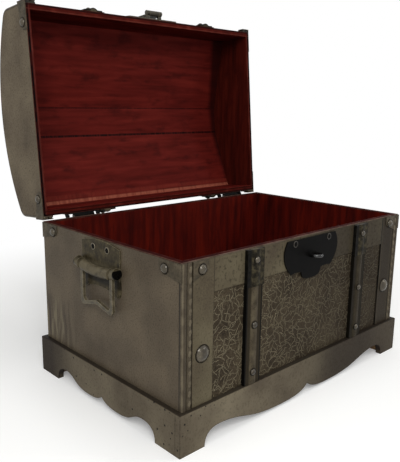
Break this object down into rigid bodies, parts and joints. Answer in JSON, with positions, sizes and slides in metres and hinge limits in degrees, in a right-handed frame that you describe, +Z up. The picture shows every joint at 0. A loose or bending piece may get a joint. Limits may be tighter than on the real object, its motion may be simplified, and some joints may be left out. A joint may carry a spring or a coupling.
{
  "type": "domed treasure chest",
  "caption": "Domed treasure chest with a hinged lid that stands open, leather covering, ribbed battens, hasp and staple, side bail handles and a scalloped plinth.",
  "frame": {"origin": "on the floor, under the middle of the open chest's reach, 55 mm behind the middle of the box", "axes": "+X along the width to the right seen from the front, +Y towards the hinges at the back, +Z up"},
  "size_m": [0.489, 0.4485, 0.5418],
  "materials": {
    "leathercloth": "satin, lightly mottled",
    "crackle_leather": "matt, crackled",
    "patch_leather": "satin, darkened",
    "stained_wood": "satin stain",
    "plinth_wood": "antiqued paint",
    "raw_wood": "unfinished",
    "black_iron": "satin black lacquer",
    "pin_steel": "dull",
    "antique_brass": "antiqued"
  },
  "bodies": {
    "chest": {"front_board": "stained_wood", "back_board": "stained_wood", "left_board": "stained_wood", "right_board": "stained_wood", "floor_board": "stained_wood", "rim_binding": "stained_wood", "apron_front": "plinth_wood", "apron_back": "plinth_wood", "apron_left": "plinth_wood", "apron_right": "plinth_wood", "foot_blocks": "raw_wood", "left_cover": "leathercloth", "right_cover": "leathercloth", "back_cover": "leathercloth", "crackle_panel": "crackle_leather", "top_band": "leathercloth", "corner_strips": "leathercloth", "edge_trims": "leathercloth", "patch_front_left": "patch_leather", "patch_front_right": "patch_leather", "patch_back_left": "patch_leather", "patch_back_right": "patch_leather", "batten_left": "leathercloth", "batten_right": "leathercloth", "batten_cap_left": "patch_leather", "batten_cap_right": "patch_leather", "chest_nails": "antique_brass", "lock_plate": "black_iron", "staple": "black_iron", "chest_screws": "black_iron", "hinge_chest_leaf_left": "black_iron", "hinge_chest_leaf_right": "black_iron", "hinge_pins": "pin_steel", "handle_plate_left": "antique_brass", "handle_plate_right": "antique_brass"},
    "lid": {"lid_front_board": "stained_wood", "lid_back_board": "stained_wood", "lid_end_left": "stained_wood", "lid_end_right": "stained_wood", "lid_slat_front": "stained_wood", "lid_slat_middle": "stained_wood", "lid_slat_back": "stained_wood", "lid_cover": "leathercloth", "lid_end_cover_left": "leathercloth", "lid_end_cover_right": "leathercloth", "lid_rim_binding": "stained_wood", "lid_strap_left": "leathercloth", "lid_strap_right": "leathercloth", "lid_edge_trims": "leathercloth", "lid_patches": "patch_leather", "lid_strap_caps": "patch_leather", "lid_nails": "antique_brass", "lid_screws": "black_iron", "hinge_lid_leaf_left": "black_iron", "hinge_lid_leaf_right": "black_iron", "hasp_plate": "antique_brass", "hasp_pin": "pin_steel"},
    "hasp": {"hasp": "antique_brass"},
    "bail_left": {"bail_left": "antique_brass"},
    "bail_right": {"bail_right": "antique_brass"}
  },
  "joints": [
    {"name": "lid_hinge", "type": "hinge", "parent": "chest", "child": "lid", "pos_m": [0, 0.1, 0.22825], "axis": [1, 0, 0], "range_deg": [0, 95]},
    {"name": "hasp_hinge", "type": "hinge", "parent": "lid", "child": "hasp", "pos_m": [0, 0.12833, 0.53776], "axis": [1, 0, 0], "range_deg": [0, 180]},
    {"name": "bail_left_pivot", "type": "hinge", "parent": "chest", "child": "bail_left", "pos_m": [-0.2375, -0.052, 0.19], "axis": [0, 1, 0], "range_deg": [0, 90]},
    {"name": "bail_right_pivot", "type": "hinge", "parent": "chest", "child": "bail_right", "pos_m": [0.2375, -0.052, 0.19], "axis": [0, -1, 0], "range_deg": [0, 90]}
  ]
}
